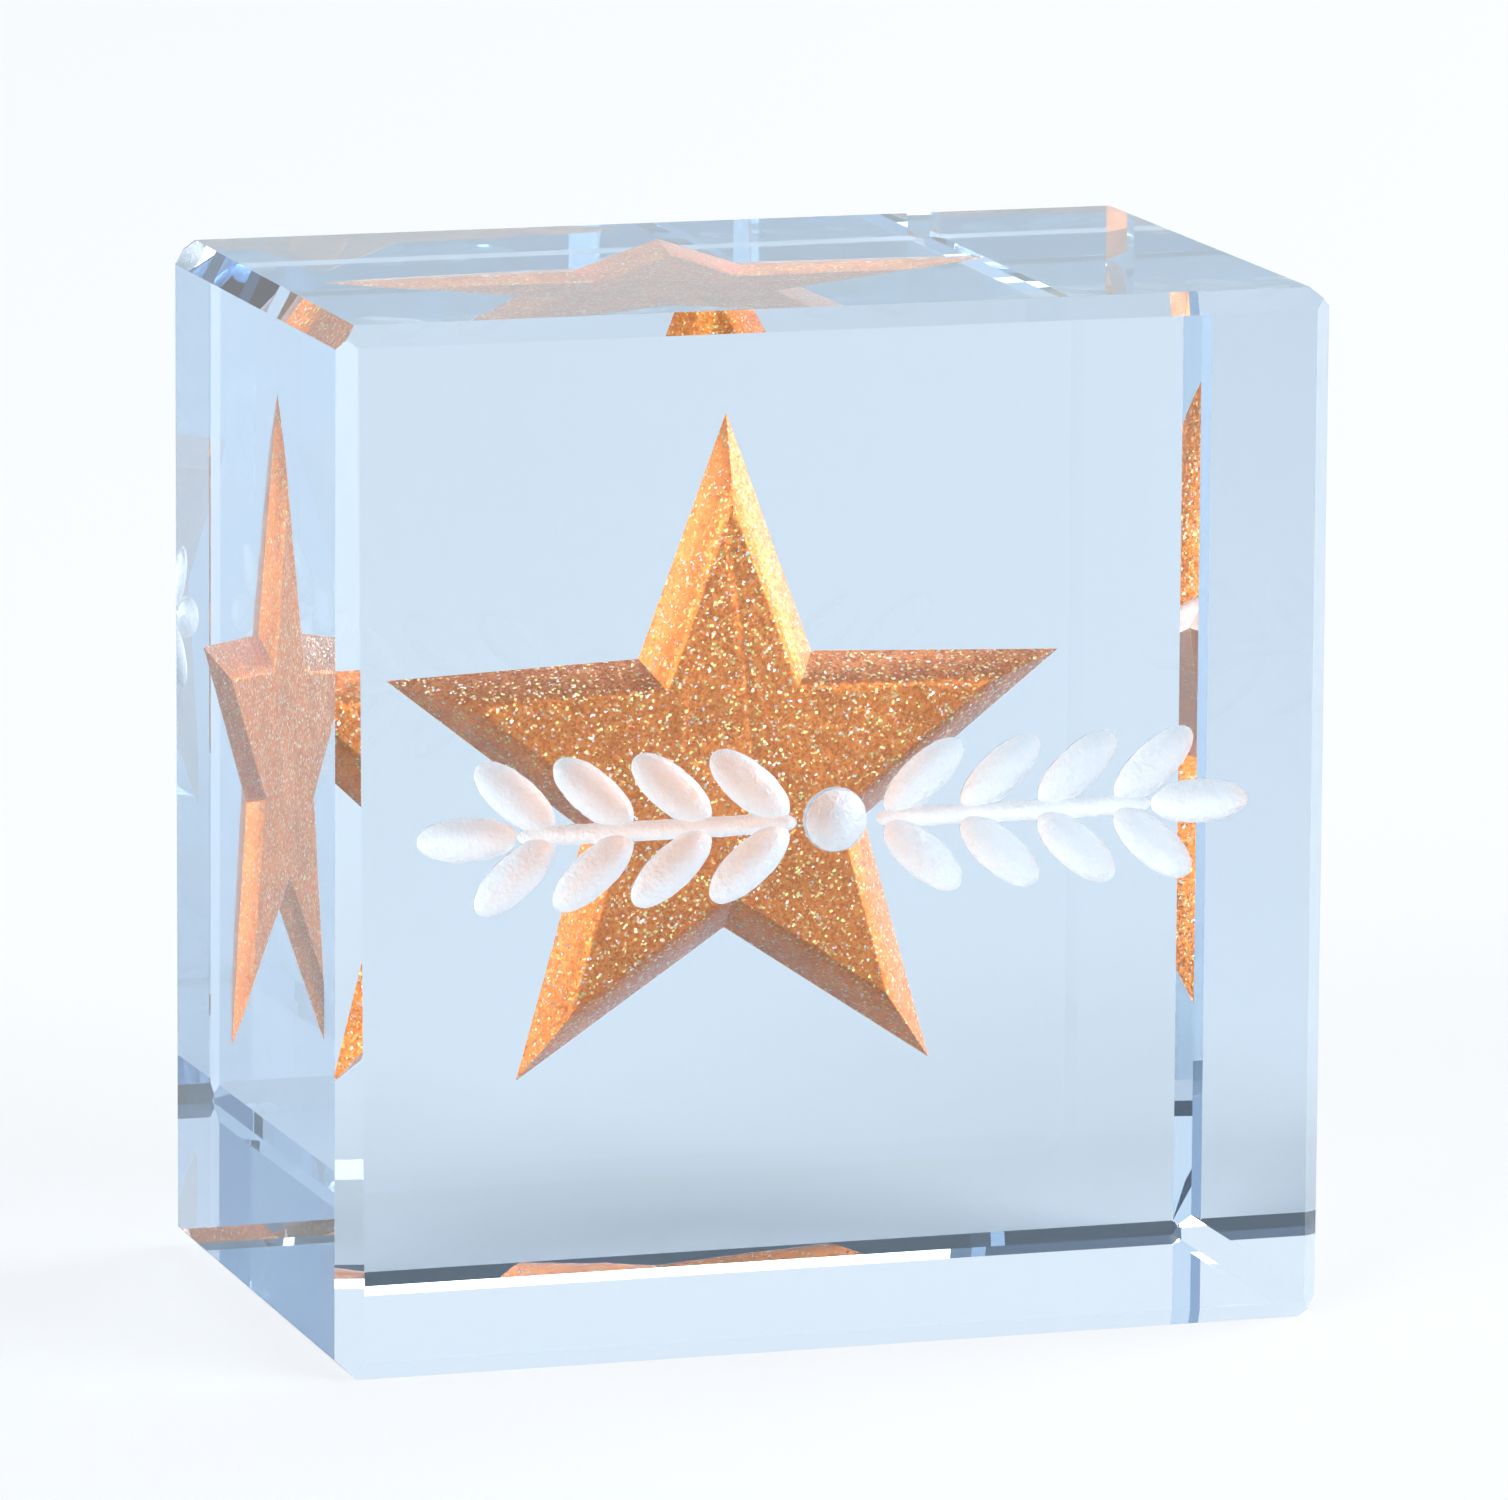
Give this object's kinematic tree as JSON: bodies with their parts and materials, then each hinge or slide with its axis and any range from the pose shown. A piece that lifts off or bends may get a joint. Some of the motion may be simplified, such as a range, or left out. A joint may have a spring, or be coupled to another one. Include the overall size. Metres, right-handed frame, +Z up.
{
  "type": "star trophy",
  "caption": "Free-standing clear glass block award with bevelled edges, a glitter-lacquered star sunk into its back face and a frosted laurel band cut into its front.",
  "frame": {"origin": "centre of the block's resting face, on the surface it stands on", "axes": "+Z up, +X along the block's width to the right as seen from the front, front face with the laurel band towards -Y, back face with the star towards +Y"},
  "size_m": [0.06, 0.038, 0.0613],
  "materials": {
    "clear_glass": "polished, with frosted carving",
    "copper_glitter_lacquer": "copper-gold glitter in clear lacquer",
    "copper_backing_lacquer": "opaque satin copper-brown lacquer"
  },
  "bodies": {
    "root": {"glass_block": "clear_glass", "star_glitter_coat": "copper_glitter_lacquer", "star_backing_coat": "copper_backing_lacquer"}
  },
  "joints": []
}
